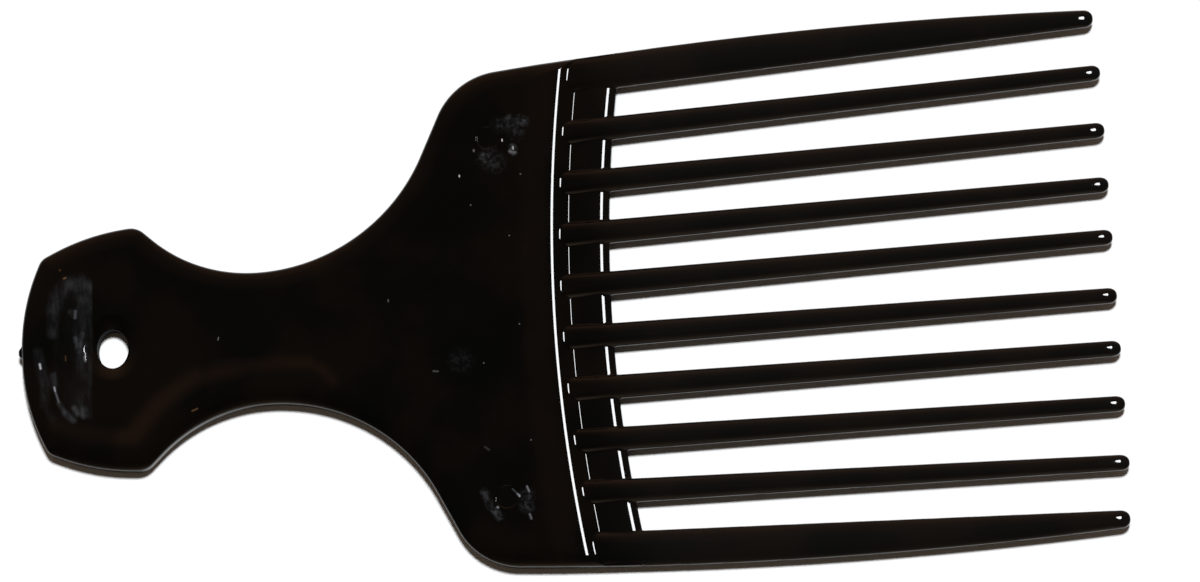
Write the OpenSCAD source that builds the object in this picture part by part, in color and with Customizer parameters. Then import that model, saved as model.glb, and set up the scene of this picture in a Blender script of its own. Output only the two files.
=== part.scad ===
// Afro pick: one thin moulded body with a paddle handle, a wide shoulder and ten long tines.
// It lies flat. X runs from the handle to the tips, Y across the tines, Z is its thickness.
// The model is drawn about the mould's parting plane, then placed with its underside on Z = 0.

/* [Handle] */
// Width across the handle's two widest corners
handle_w = 38.2; // [34:0.1:46]
// Distance from the handle's end to its widest corners
handle_wide_x = 18.4; // [14:0.1:21]
// Radius of the widest corners
handle_wide_r = 3; // [1:0.1:3.1]
// Width across the two corners of the handle's end
handle_end_w = 30.5; // [26:0.1:34]
// Distance from the handle's end to its end corners
handle_corner_x = 3.5; // [2:0.1:5]
// Radius of the end corners
handle_corner_r = 2.5; // [1:0.1:4]
// Radius of the bowed end
handle_end_r = 32; // [20:0.5:36]
// Radius of the handle's bowed sides
handle_side_r = 33; // [15:0.5:36]
// Diameter of the hang hole at its narrowest
hang_hole_d = 4.5; // [3.5:0.1:6.5]
// Distance from the handle's end to the middle of the hang hole
hang_hole_x = 14; // [9:0.1:18]
// Height of the hang hole's straight wall, halfway through the handle
hang_hole_wall_h = 0.8; // [0.4:0.1:2]
// Width of the rounding from that wall to each face
hang_hole_lip_w = 1.6; // [0.5:0.1:2.5]
// Width of the stub where the moulding was cut from its runner
gate_w = 1.9; // [1:0.1:5]
// How far that stub stands out of the handle's end
gate_proud = 0.5; // [0.2:0.1:1]
// Height of that stub
gate_t = 1.2; // [0.6:0.1:2]

/* [Neck] */
// Width of the neck
neck_w = 20.7; // [16:0.1:26]
// Distance from the handle's end to the corner where the neck starts
neck_x = 27.6; // [25:0.1:34]
// Length between the corners at the two ends of the neck
neck_l = 27.1; // [26.5:0.1:40]
// Radius of the hollow between handle and neck
neck_handle_r = 23.5; // [12:0.5:25]
// Radius of the hollow between neck and shoulder
neck_shoulder_r = 28; // [18:0.5:30]

/* [Shoulder] */
// Width across the shoulder's two corners
shoulder_w = 76.4; // [70:0.1:80]
// Length from the neck's end corner to the shoulder's corner
flare_l = 13.3; // [10:0.1:18]
// Radius of the shoulder's corners
shoulder_r = 11; // [6:0.5:13]
// Length from the shoulder's corner to the front edge of the plate
plate_front_l = 13.35; // [12.5:0.05:20]
// Radius of the plate's bowed front edge, seen from above
plate_front_r = 250; // [160:5:400]
// Length of the shallow bevel that ends at the front edge
bevel_l = 4.6; // [3:0.1:6]
// How far the bevel drops
bevel_drop = 0.26; // [0.1:0.02:0.4]
// Distance of an ejector pin mark from the plate's side, across the pick
pin_mark_inset = 10.5; // [8:0.1:16]
// Distance of the ejector pin marks behind the front edge
pin_mark_back = 8.4; // [7:0.1:10]
// Diameter of an ejector pin mark
pin_mark_d = 3.5; // [2:0.1:4.5]
// Depth of an ejector pin mark
pin_mark_depth = 0.12; // [0.08:0.02:0.3]

/* [Thickness] */
// Thickness of the handle, neck and shoulder
body_t = 3.4; // [3:0.1:5]
// Height of the straight edge all along the body's sides
side_wall_h = 1; // [0.4:0.1:1.6]
// Width of the curve from that edge up to each face, seen from above
side_round_w = 2.4; // [1.6:0.1:2.6]
// Thickness of the web that carries the tines
web_t = 1.2; // [1:0.1:2]
// Radius of the curve that turns down from the plate's front edge
ramp_top_r = 5.6; // [3:0.1:7]
// Radius of the hollow where that curve runs out on the web
ramp_foot_r = 1.3; // [0.6:0.1:2]
// Length over which the web's front edge is rounded
web_nose_l = 2.6; // [0.6:0.1:3]

/* [Tines] */
// Distance from the plate's front edge to where the inner tines start inside the curve down to the web
tine_root_gap = 0.4; // [0.1:0.1:0.6]
// Length over which a tine's squarer root turns into its oval
tine_root_l = 9; // [4:0.5:16]
// Height of the straight edge along a tine's sides
tine_wall_h = 0.5; // [0.1:0.1:0.8]
// Length over which a tine's tip is rounded, seen from above
tine_tip_round_l = 1.4; // [1:0.1:2]
// Length over which a tine grows thinner towards its tip
tine_tip_thin_l = 4; // [3:0.5:10]
// Length of the web from the plate's front edge to its own, at the middle
web_l = 8.75; // [7:0.05:12]
// Radius of the web's bowed front edge, seen from above
web_front_r = 225; // [160:5:400]
// Free length of the inner tines from the web's front edge to their tips
tine_l = 75.9; // [60:0.1:90]
// How much shorter the two outer tines are
outer_tine_short = 0.5; // [0:0.1:3]
// Width of an inner tine where it leaves the web
tine_root_w = 3.7; // [3:0.1:4.2]
// Width of a tine near its tip
tine_tip_w = 2.4; // [1.8:0.1:3]
// Height of a tine at its root
tine_root_t = 2.1; // [1.8:0.1:2.6]
// Height of a tine near its tip
tine_tip_t = 1.7; // [1.2:0.1:2]
// Width of an outer tine where it leaves the web
outer_tine_root_w = 5.4; // [4:0.1:7]
// Width of an outer tine near its tip
outer_tine_tip_w = 2.6; // [2:0.1:3.6]
// Width across the outside of the outer tines at their tips
tips_w = 80.4; // [78:0.1:86]
// How far the outer tines bow outwards
side_bow = 3.24; // [1:0.02:5]
// Radius of that bow
side_bow_r = 670; // [400:10:700]

/* [Hidden] */

plastic = "#17130f";
round_facets = 48;
arc_step = 7;
overrun = 1;

// Places along X, counted from the handle's end
neck_end_x = neck_x + neck_l;
shoulder_x = neck_end_x + flare_l;
plate_front_x = shoulder_x + plate_front_l;
web_front_x = plate_front_x + web_l;
tip_x = web_front_x + tine_l;
outer_tip_x = tip_x - outer_tine_short;

// The planes where one sub-part ends and the next begins
paddle_split_share = 0.37;
shoulder_split_share = 0.83;
paddle_split_x = handle_wide_x + (neck_x + neck_l / 3 - handle_wide_x) * paddle_split_share;
shoulder_split_x = neck_x + neck_l * shoulder_split_share;

// Where the end's bow turns, and where the side's bow turns between the handle's corners
end_bow_share = 0.49;
handle_side_shares = [0.49, 0.87];
side_bow_place_share = 0.528;

// Tine places as shares of half the fan's width, from the middle outwards
root_place_shares = [for (k = [1 : 2 : 9]) k / 9];
tip_place_shares = [0.117, 0.328, 0.548, 0.781, 1];

// The upper half of the outline: corner points, each with the radius of its curve
outline_corners = [
    [0, 0, 0],
    [0, handle_end_w / 2 * end_bow_share, handle_end_r],
    [handle_corner_x, handle_end_w / 2, handle_corner_r],
    [
        handle_corner_x + (handle_wide_x - handle_corner_x) * handle_side_shares[0],
        (handle_end_w + (handle_w - handle_end_w) * handle_side_shares[1]) / 2,
        handle_side_r
    ],
    [handle_wide_x, handle_w / 2, handle_wide_r],
    [neck_x, neck_w / 2, neck_handle_r],
    [neck_end_x, neck_w / 2, neck_shoulder_r],
    [shoulder_x, shoulder_w / 2, shoulder_r],
    [
        shoulder_x + (outer_tip_x - shoulder_x) * side_bow_place_share,
        (shoulder_w + (tips_w - shoulder_w) * side_bow_place_share) / 2 + side_bow,
        side_bow_r
    ],
    [outer_tip_x, tips_w / 2, 0]
];

function unit(v) = v / norm(v);
function flat(p) = [p[0], p[1]];
function quarter_turn(v) = [v[1], -v[0]];
function spin(v, a) = [v[0] * cos(a) - v[1] * sin(a), v[0] * sin(a) + v[1] * cos(a)];
function mix(a, b, share) = a + (b - a) * share;
function within(share) = min(1, max(0, share));
function reversed(list) = [for (i = [len(list) - 1 : -1 : 0]) list[i]];
function mirrored(p) = [p[0], -p[1], p[2]];

// Signed turn of the outline at its corner number i, and how far its curve reaches along each side
function edge(i) = flat(outline_corners[i]) - flat(outline_corners[i - 1]);
function turn(i) = let (a = edge(i), b = edge(i + 1)) atan2(cross(a, b), a * b);
function is_end(i) = i <= 0 || i >= len(outline_corners) - 1;
function wanted_reach(i) = is_end(i) ? 0 : outline_corners[i][2] * tan(abs(turn(i)) / 2);
function room_share(i) = norm(edge(i)) / max(wanted_reach(i - 1) + wanted_reach(i), norm(edge(i)));
function reach(i) = wanted_reach(i) * min(room_share(i), room_share(i + 1));

// The curve at one corner, as points [x, y, inward x, inward y]
function corner_curve(i) =
    let (
        angle = turn(i),
        corner = flat(outline_corners[i]),
        start = corner - unit(edge(i)) * reach(i),
        r = reach(i) / tan(abs(angle) / 2),
        centre = start + quarter_turn(unit(edge(i))) * (angle < 0 ? r : -r),
        steps = max(5, ceil(abs(angle) / arc_step))
    )
    [
        for (k = [0 : steps])
            let (
                p = centre + spin(start - centre, angle * k / steps),
                inward = unit(centre - p) * (angle < 0 ? 1 : -1)
            )
            [p[0], p[1], inward[0], inward[1]]
    ];

outline = [for (i = [1 : len(outline_corners) - 2]) each corner_curve(i)];
outline_half_w = concat([for (p = outline) [p[0], p[1]]], [[outer_tip_x, tips_w / 2]]);
outline_slant = [for (p = outline) [p[0], -p[3]]];
function half_w(x) = lookup(x, outline_half_w);
function slant(x) = lookup(x, outline_slant);

// Heights above the parting plane at which the body's sections are drawn
half_t = body_t / 2;
bevel_z = half_t - bevel_drop;
wall_z = side_wall_h / 2;
wall_to_bevel_shares = [0, 0.3, 0.65, 1];
bevel_to_top_shares = [0.6, 1];
level_heights = concat(
    [0],
    [for (share = wall_to_bevel_shares) mix(wall_z, bevel_z, share)],
    [for (share = bevel_to_top_shares) mix(bevel_z, half_t, share)]
);
body_levels = concat([for (z = reversed(level_heights)) if (z > 0) -z], level_heights);

// How far the side's curve, and the plate's bevel, draw in at a height
function side_share(z) = within((abs(z) - wall_z) / (half_t - wall_z));
function side_inset(z) = side_round_w * (1 - sqrt(1 - side_share(z)));
function front_inset(z) = bevel_l * max(0, abs(z) - bevel_z) / bevel_drop;

// Places across the pick at which a bowed front is drawn, on one side of the middle
front_reach_share = 0.94;
front_steps = 7;
front_ys = [
    for (k = [front_steps : -1 : 1]) half_w(plate_front_x) * front_reach_share * (k - 0.5) / front_steps
];
outer_y = half_w(plate_front_x) + tine_root_w;

// Bowed edges across the pick: X at a distance y from the middle line. The plate's front has straight
// facets between the places above, so that whatever meets it lies on the same facets
function bow(y, r) = r - sqrt(r * r - y * y);
front_facets = [for (y = concat(reversed(front_ys), [outer_y])) [y, plate_front_x + bow(y, plate_front_r)]];
function plate_front(y) = lookup(abs(y), front_facets);
function web_front(y) = web_front_x + bow(y, web_front_r);

// Curve from the plate's front edge down to the web, as distance in front of the edge and height
bevel_angle = atan(bevel_drop / bevel_l);
ramp_r = ramp_top_r + ramp_foot_r;
ramp_angle = acos((ramp_top_r * cos(bevel_angle) + ramp_foot_r - bevel_z + web_t / 2) / ramp_r);
ramp_top_l = ramp_top_r * (sin(ramp_angle) - sin(bevel_angle));
ramp_l = ramp_top_l + ramp_foot_r * sin(ramp_angle);
ramp_steps = 4;
ramp = concat(
    [
        for (k = [0 : ramp_steps])
            let (a = mix(bevel_angle, ramp_angle, k / ramp_steps))
            [ramp_top_r * (sin(a) - sin(bevel_angle)), bevel_z - ramp_top_r * (cos(bevel_angle) - cos(a))]
    ],
    [
        for (k = [ramp_steps - 1 : -1 : 0])
            let (a = ramp_angle * k / ramp_steps)
            [ramp_l - ramp_foot_r * sin(a), web_t / 2 + ramp_foot_r * (1 - cos(a))]
    ]
);
function ramp_z(ahead) = lookup(ahead, ramp);

// The point of a side at x, drawn in by the rounding at a height
function side_at(x, z) = [x, half_w(x) - side_inset(z) / slant(x), z];
// The outline's own points between two planes, far enough from them to stay between when drawn in,
// and clear of the middle line
point_gap = side_round_w / 8;
function side_points(x0, x1) = [
    for (p = outline)
        let (x = p[0] + side_round_w * p[2])
        if (p[1] > point_gap && min(x, p[0]) > x0 + point_gap && max(x, p[0]) < x1 - point_gap) p
];
function drawn_in(p, z) = [p[0] + p[2] * side_inset(z), p[1] + p[3] * side_inset(z), z];
function side_run(x0, x1, z) = [for (p = side_points(x0, x1)) drawn_in(p, z)];
// A closed loop at one height from the points of its upper half
function whole_loop(half) = concat(half, [for (p = reversed(half)) if (p[1] > 0) mirrored(p)]);

// The point where a side meets the plate's front, drawn in by the bevel at a height
function front_corner(z) =
    let (
        y0 = half_w(plate_front_x) - side_inset(z),
        y1 = side_at(plate_front(y0) - front_inset(z), z)[1],
        y2 = side_at(plate_front(y1) - front_inset(z), z)[1]
    )
    [plate_front(y2) - front_inset(z), y2, z];

// Solid through a stack of loops that all have as many points and run clockwise seen from the last
module loft(loops) {
    n = len(loops[0]);
    last = (len(loops) - 1) * n;
    sides = [
        for (j = [0 : len(loops) - 2], i = [0 : n - 1])
            let (a = j * n + i, b = j * n + (i + 1) % n)
            each [[a, b, b + n], [a, b + n, a + n]]
    ];
    bottom = [for (i = [n - 1 : -1 : 0]) i];
    top = [for (i = [0 : n - 1]) last + i];
    polyhedron(points = [for (loop = loops) each loop], faces = concat([bottom, top], sides), convexity = 4);
}

// Sets the part down with its underside on Z = 0 and the middle of its length on X = 0
module placed() {
    color(plastic) translate([(gate_proud - tip_x) / 2, 0, half_t]) children();
}

// Paddle end of the handle with the hang hole and the stub of the gate
module handle_paddle() {
    placed() difference() {
        union() {
            paddle_body();
            gate_stub();
        }
        hang_hole();
    }
}

module paddle_body() {
    loft([
        for (z = body_levels)
            whole_loop(concat(side_run(-side_round_w, paddle_split_x, z), [side_at(paddle_split_x, z)]))
    ]);
}

module gate_stub() {
    stub_tip_share = 0.45;
    root_w = gate_w * (1 + (1 - stub_tip_share) * side_round_w / gate_proud);
    linear_extrude(height = gate_t, center = true)
        polygon([
            [side_round_w, root_w / 2],
            [-gate_proud, gate_w / 2 * stub_tip_share],
            [-gate_proud, -gate_w / 2 * stub_tip_share],
            [side_round_w, -root_w / 2]
        ]);
}

// The hole with its curved lips, as one turned shape. The lips meet the faces just short of level
module hang_hole() {
    lip_steps = 8;
    over_share = 0.01;
    straight_z = hang_hole_wall_h / 2;
    wall_r = hang_hole_d / 2;
    lip_h = (half_t - straight_z) * (1 + over_share);
    lip = [
        for (k = [0 : lip_steps])
            let (share = k / lip_steps)
            [wall_r + hang_hole_lip_w * share, straight_z + lip_h * (1 - pow(1 - share, 2))]
    ];
    lip_x = wall_r + hang_hole_lip_w;
    translate([hang_hole_x, 0, 0])
        rotate_extrude($fn = round_facets)
            polygon(concat(
                lip,
                [[lip_x, half_t + overrun], [0, half_t + overrun]],
                [[0, -half_t - overrun], [lip_x, -half_t - overrun]],
                [for (p = reversed(lip)) [p[0], -p[1]]]
            ));
}

// Waist between the handle and the shoulder
module neck() {
    placed() loft([
        for (z = body_levels)
            whole_loop(concat(
                [side_at(paddle_split_x, z)],
                side_run(paddle_split_x, shoulder_split_x, z),
                [side_at(shoulder_split_x, z)]
            ))
    ]);
}

// Flaring plate with its beveled, bowed front edge
module shoulder_plate() {
    placed() difference() {
        loft([
            for (z = body_levels)
                whole_loop(concat(
                    [side_at(shoulder_split_x, z)],
                    side_run(shoulder_split_x, plate_front_x - bevel_l, z),
                    [front_corner(z)],
                    [for (y = front_ys) [plate_front(y) - front_inset(z), y, z]]
                ))
        ]);
        both_sides() pin_mark();
    }
}

module pin_mark() {
    x = plate_front_x - pin_mark_back;
    translate([x, half_w(x) - pin_mark_inset, half_t - pin_mark_depth])
        cylinder(d = pin_mark_d, h = pin_mark_depth + overrun, $fn = round_facets);
}

// Width of the fan across the centre lines of its outermost places, at the web's front and at the tips
fan_root_w = 2 * (half_w(web_front_x) - outer_tine_root_w) + tine_root_w;
fan_tip_w = tips_w - 2 * outer_tine_tip_w + tine_tip_w;

// Curve down from the plate and thin web in front of it, with the tines let into them
nose_shares = [0, 0.35, 0.62, 0.82, 0.94, 1];
web_end_height_share = 0.85;
web_end_y = (half_w(web_front_x) + outer_inside_y(web_front_x)) / 2;

module tine_web() {
    placed() difference() {
        web_slab();
        both_sides() {
            outer_tine();
            for (k = [0 : 3]) inner_tine(k);
        }
    }
}

module both_sides() {
    children();
    mirror([0, 1, 0]) children();
}

// Upper edge of the web's section at y, from the plate's front to the tip of its nose
function web_top(y, height_share) = concat(
    [for (p = ramp) [plate_front(y) + p[0], y, p[1] * height_share]],
    [
        for (s = nose_shares)
            [web_front(y) - web_nose_l * (1 - s), y, web_t / 2 * sqrt(1 - s * s) * height_share]
    ]
);
function web_loop(y, height_share) =
    let (top = web_top(y, height_share))
    concat(reversed(top), [for (p = top) if (p[2] > 0) [p[0], p[1], -p[2]]]);

// The slab's two ends lie inside the outer tines
module web_slab() {
    loft(concat(
        [web_loop(-web_end_y, web_end_height_share)],
        [for (y = front_ys) web_loop(-y, 1)],
        [for (y = reversed(front_ys)) web_loop(y, 1)],
        [web_loop(web_end_y, web_end_height_share)]
    ));
}

// Everything behind the plate's front edge
module behind_front() {
    ys = concat([outer_y], front_ys);
    linear_extrude(height = body_t, center = true)
        polygon(concat(
            [[shoulder_x, outer_y]],
            [for (y = ys) [plate_front(y), y]],
            [for (y = reversed(ys)) [plate_front(y), -y]],
            [[shoulder_x, -outer_y]]
        ));
}

// Tines: each is a row of sections across X with a straight edge at both sides and a curved top and
// underside, squarer at the root than further on, and rounded at the tip
tine_sides = 16;
root_power = 4.5;
power = 2.3;
root_shares = [0, 0.3, 0.65, 1];
thin_shares = [1, 0.65];
tip_thin_share = 0.36;
tip_shares = [0, 0.35, 0.62, 0.82, 0.92, 0.98];

function section(x, y, w, h, wall, power) =
    let (
        top = [
            for (k = [tine_sides / 2 : -1 : 0])
                let (across = cos(k * 360 / tine_sides))
                [x, y + w / 2 * across, wall + (h - wall) * (1 - pow(abs(across), power))]
        ]
    )
    concat(top, [for (p = reversed(top)) [p[0], p[1], -p[2]]]);

// Centre of tine place k at x, and the width, half height and squareness that a tine has there
function along(x) = (x - web_front_x) / (tip_x - web_front_x);
function place_y(k, x) =
    mix(fan_root_w * root_place_shares[k], fan_tip_w * tip_place_shares[k], along(x)) / 2;
function tine_w(x) = mix(tine_root_w, tine_tip_w, along(x));
function thinning(x, end_x) = 1 - tip_thin_share * pow(within(1 - (end_x - x) / tine_tip_thin_l), 2);
function tine_h(x, end_x) = mix(tine_root_t, tine_tip_t, along(x)) / 2 * thinning(x, end_x);
function tine_power(x) = mix(root_power, power, within((x - plate_front_x) / tine_root_l));

// Places of the sections from x0 on, each with its share of the way through the rounded tip
function tine_stations(x0, end_x, middle_steps) =
    let (x1 = x0 + tine_root_l, x2 = end_x - tine_tip_thin_l)
    concat(
        [for (s = root_shares) [mix(x0, x1, s), 0]],
        [for (j = [1 : 1 : middle_steps]) [mix(x1, x2, j / (middle_steps + 1)), 0]],
        [for (s = thin_shares) [end_x - tine_tip_thin_l * s, 0]],
        [for (s = tip_shares) [end_x - tine_tip_round_l * (1 - s), s]]
    );

// One section of a tine whose half height is h, at a station
function tine_section(station, y, w, h) =
    let (left = 1 - pow(station[1], 2), power = tine_power(station[0]))
    section(station[0], y, w * pow(left, 1 / power), h * left, tine_wall_h / 2 * left, power);

module inner_tine(k) {
    x0 = plate_front(place_y(k, plate_front_x)) + tine_root_gap;
    loft([
        for (s = tine_stations(x0, tip_x, 0))
            tine_section(s, place_y(k, s[0]), tine_w(s[0]), tine_h(s[0], tip_x))
    ]);
}

// The outer tine's outside follows the outline, and its inside the edge that an inner tine there would have.
// It starts on the plate's front, as high as the curve down from there
outer_middle_steps = 7;
outer_ramp_shares = [-0.4, 0, 0.2, 0.4, 0.6];
function outer_inside_y(x) = place_y(4, x) - tine_w(x) / 2;

module outer_tine() {
    front_x = plate_front((half_w(plate_front_x) + outer_inside_y(plate_front_x)) / 2);
    stations = concat(
        [for (share = outer_ramp_shares) [front_x + ramp_l * share, 0]],
        tine_stations(front_x + ramp_l, outer_tip_x, outer_middle_steps)
    );
    difference() {
        loft([
            for (s = stations)
                let (
                    outside = half_w(s[0]),
                    inside = outer_inside_y(s[0]),
                    h = max(ramp_z(s[0] - front_x), tine_h(s[0], outer_tip_x))
                )
                tine_section(s, (outside + inside) / 2, outside - inside, h)
        ]);
        behind_front();
    }
}

// Tines are numbered from the left, which is towards +Y, to the right
module numbered_inner_tine(number) {
    k = number <= 4 ? 4 - number : number - 5;
    placed() mirror([0, number <= 4 ? 0 : 1, 0]) inner_tine(k);
}

module outer_tine_left() {
    placed() outer_tine();
}

module outer_tine_right() {
    placed() mirror([0, 1, 0]) outer_tine();
}

handle_paddle();
neck();
shoulder_plate();
tine_web();
outer_tine_left();
numbered_inner_tine(1);  // inner_tine_1
numbered_inner_tine(2);  // inner_tine_2
numbered_inner_tine(3);  // inner_tine_3
numbered_inner_tine(4);  // inner_tine_4
numbered_inner_tine(5);  // inner_tine_5
numbered_inner_tine(6);  // inner_tine_6
numbered_inner_tine(7);  // inner_tine_7
numbered_inner_tine(8);  // inner_tine_8
outer_tine_right();
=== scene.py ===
import math

import bmesh
import bpy
import numpy as np
from mathutils import Matrix, Vector


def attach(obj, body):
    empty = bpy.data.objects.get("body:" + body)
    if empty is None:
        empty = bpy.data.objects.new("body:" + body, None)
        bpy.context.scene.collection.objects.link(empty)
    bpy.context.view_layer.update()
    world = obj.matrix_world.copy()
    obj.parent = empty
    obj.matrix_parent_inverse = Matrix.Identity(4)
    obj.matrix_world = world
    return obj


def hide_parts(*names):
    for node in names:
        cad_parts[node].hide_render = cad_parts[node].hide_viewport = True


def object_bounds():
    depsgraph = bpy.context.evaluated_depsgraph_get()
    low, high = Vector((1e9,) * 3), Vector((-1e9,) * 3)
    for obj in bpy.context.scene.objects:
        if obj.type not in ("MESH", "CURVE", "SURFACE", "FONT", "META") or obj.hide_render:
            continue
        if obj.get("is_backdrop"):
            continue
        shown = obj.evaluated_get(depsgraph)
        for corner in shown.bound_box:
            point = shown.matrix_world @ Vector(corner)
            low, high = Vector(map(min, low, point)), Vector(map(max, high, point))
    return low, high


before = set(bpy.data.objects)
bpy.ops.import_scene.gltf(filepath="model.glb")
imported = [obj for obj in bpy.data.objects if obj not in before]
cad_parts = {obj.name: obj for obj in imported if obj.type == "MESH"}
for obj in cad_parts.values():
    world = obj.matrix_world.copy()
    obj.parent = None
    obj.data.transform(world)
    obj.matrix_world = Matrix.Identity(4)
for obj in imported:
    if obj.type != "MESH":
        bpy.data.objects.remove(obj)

MM = 0.001
FAR_AWAY = 1e3
TINY = 1e-9
low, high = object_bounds()

# The frame's own sizes in millimetres. The moulding is drawn about the mould's parting plane, with X
# counted from the handle's end, and placed in the frame by to_frame()
GATE_PROUD = 0.5
HALF_T = (high.z - low.z) / MM / 2
HANDLE_END = low.x / MM + GATE_PROUD
TIP_X = high.x / MM - HANDLE_END
OUTER_TINE_SHORT = 0.5
OUTER_TIP_X = TIP_X - OUTER_TINE_SHORT

# Outline: widths and places of its corners, with the radius of each corner's curve
HANDLE_END_W = 30.5
HANDLE_END_R = 32
HANDLE_CORNER_X = 3.5
HANDLE_CORNER_R = 2.5
HANDLE_SIDE_R = 33
HANDLE_W = 38.2
HANDLE_WIDE_X = 18.4
HANDLE_WIDE_R = 3
NECK_W = 20.7
NECK_X = 27.6
NECK_HANDLE_R = 23.5
NECK_L = 27.1
NECK_END_X = NECK_X + NECK_L
NECK_SHOULDER_R = 28
SHOULDER_W = 76.4
FLARE_L = 13.3
SHOULDER_X = NECK_END_X + FLARE_L
SHOULDER_R = 11
TIPS_W = 80.4
SIDE_BOW = 3.22
SIDE_BOW_R = 670
END_BOW_SHARE = 0.49
HANDLE_SIDE_SHARES = (0.49, 0.87)
SIDE_BOW_SHARE = 0.528

# Sides, from their straight edge at mid-thickness up to the faces
SIDE_ROUND_W = 3.4
SIDE_WALL_H = 1.0
SIDE_EDGE_ROUND = 0.95
TOP_EDGE_W = 0.05

# Hang hole: an oval with a straight wall between its heights over the parting plane
HOLE_X = 14
HOLE_Y = 0.28
HOLE_HALF_L = 2.42
HOLE_HALF_W = 3.04
HOLE_WALL_TOP = 0.7
HOLE_WALL_FOOT = -1.3
HOLE_LIP_W = 2.1
HOLE_LIP_POWER = 1.5
HOLE_UNDER_LIP_W = 0.4

# Gate stub
GATE_Y = 0.9
GATE_W = 1.9
GATE_T = 1.2
GATE_ROOT_L = 2
GATE_END_SHARE = 0.45
GATE_SPREAD = 1.5
GATE_EDGE_W = 0.2
GATE_END_EDGE_W = 0.1
GATE_FILLET = 0.15

# Ejector pin marks
PIN_X = 72.95
PIN_INSET = 10.5
PIN_R = 1.75
PIN_DEPTH = 0.12
PIN_EDGE_W = 0.2

# Plate's bowed front with its bevel, and the curve from there down to the web
PLATE_FRONT_X = 81.07
PLATE_FRONT_R = 250
BEVEL_L = 4.6
BEVEL_DROP = 0.26
RAMP_TOP_R = 5.6
RAMP_FOOT_R = 1.3
WEB_T = 1.1
WEB_FRONT_X = 90.1
WEB_FRONT_R = 225
WEB_NOSE_L = 2.2

# Tines, with their places as shares of the way from the middle to the outer tine
TINE_ROOT_W = 3.7
TINE_TIP_W = 2.4
TINE_ROOT_T = 2.19
TINE_TIP_T = 1.7
OUTER_TINE_ROOT_W = 5.4
OUTER_TINE_TIP_W = 2.6
ROOT_PLACE_SHARES = [k / 9 for k in (1, 3, 5, 7, 9)]
TIP_PLACE_SHARES = [0.117, 0.328, 0.548, 0.781, 1]
OUTER_TINE = 4
TIP_ROUND_L = 1.38
TIP_THIN_L = 3.2
TIP_THIN_SHARE = 0.36
TIP_FLAT_L = 9
TIP_FLATNESS = 1.35
TINE_WALL_H = 0.4
TINE_EDGE_ROUND = 0.25
TINE_SQUARENESS = 2.3
TINE_ROOT_SQUARENESS = 6
TINE_ROOT_L = 9
TINE_HIDDEN_L = 2
TINE_FILLET = 0.16
FILLET_FADE_W = 1.5
FILLET_SIDE_SHARE = 0.04

# Grid that the surface is found on: stretches along the pick as (start, end, greatest step), fine at the
# web and the tips, then its reach across, its rows, its layers and how far it stands over the faces
GRID_STRETCHES = [
    (-1.1, 4, 0.3),
    (4, 74, 0.4),
    (74, 93, 0.25),
    (93, TIP_X - 4, 0.9),
    (TIP_X - 4, TIP_X + 0.5, 0.22),
]
GRID_REACH = 41.7
GRID_ROWS = 298
GRID_LAYERS = 20
GRID_MARGIN = 0.35

# Where the grid's rows take on the bow of the plate's front, and over what length they do so
BOW_START_X = 55
BOW_START_L = 18
BOW_END_X = 125
BOW_END_L = 30

# How near the pin marks' middles and the hole's wall the faces are halved, once for each reach
UPPER_FACE_SHARE = 0.8
PIN_REACHES = (PIN_R + 0.7, PIN_R + 0.5)
HOLE_REACHES = (0.9, 0.6)

# Camera: its focal length in pixels of the photograph, how it is tilted and turned over the pick, how far
# it stands, and the point it looks at
IMAGE_W = 1200
FOCAL_PIXELS = 7968
SENSOR_W = 36
TILT_BACK = math.radians(15.039)
TILT_SIDE = math.radians(6.879)
TURN = math.radians(3.208)
DISTANCE = 1200
AIM = (5.73, 3.0, HALF_T)
NEAREST_SEEN, FARTHEST_SEEN = 0.05, 50

# Light: its place from straight overhead, and the strength and angle of the lamp that lights the paper and
# of the dimmer one that the plastic mirrors
LIGHT_EAST = math.radians(9.5)
LIGHT_NORTH = math.radians(16.7)
LIGHT_COLOUR = (0.98, 1.0, 1.02)
KEY_STRENGTH, KEY_ANGLE = 3.36, math.radians(12)
MIRRORED_STRENGTH, MIRRORED_ANGLE = 0.3, math.radians(7)

# What the room shows in the plastic, from the southern horizon (0) over straight overhead (0.5) to the
# northern one (1), and the white that the camera sees beyond the paper
ROOM_LIGHT = [
    (0, (0.5, 0.38, 0.28)),
    (0.06, (0.26, 0.19, 0.13)),
    (0.16, (0.075, 0.055, 0.04)),
    (0.3, (0.034, 0.028, 0.022)),
    (0.63, (0.053, 0.045, 0.035)),
    (0.85, (0.13, 0.08, 0.052)),
    (1, (0.3, 0.16, 0.1)),
]
BACKDROP = (0.97, 0.97, 0.97, 1)

# Paper, with its size in metres
FLOOR_HALF = 6
FIBRES_PER_MM = 2.2
FIBRE_RANGE = (0.3, 0.7)
PAPER_TONES = (0.894, 0.906)


def to_frame(points):
    """Points of the moulding, in millimetres, as points of the frame in metres"""
    return (np.asarray(points) + [HANDLE_END, 0, HALF_T]) * MM


def mix(a, b, share):
    return a + (b - a) * share


def eased(share):
    """A share from 0 to 1 that starts and ends gently"""
    return share * share * (3 - 2 * share)


# Outline


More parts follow.
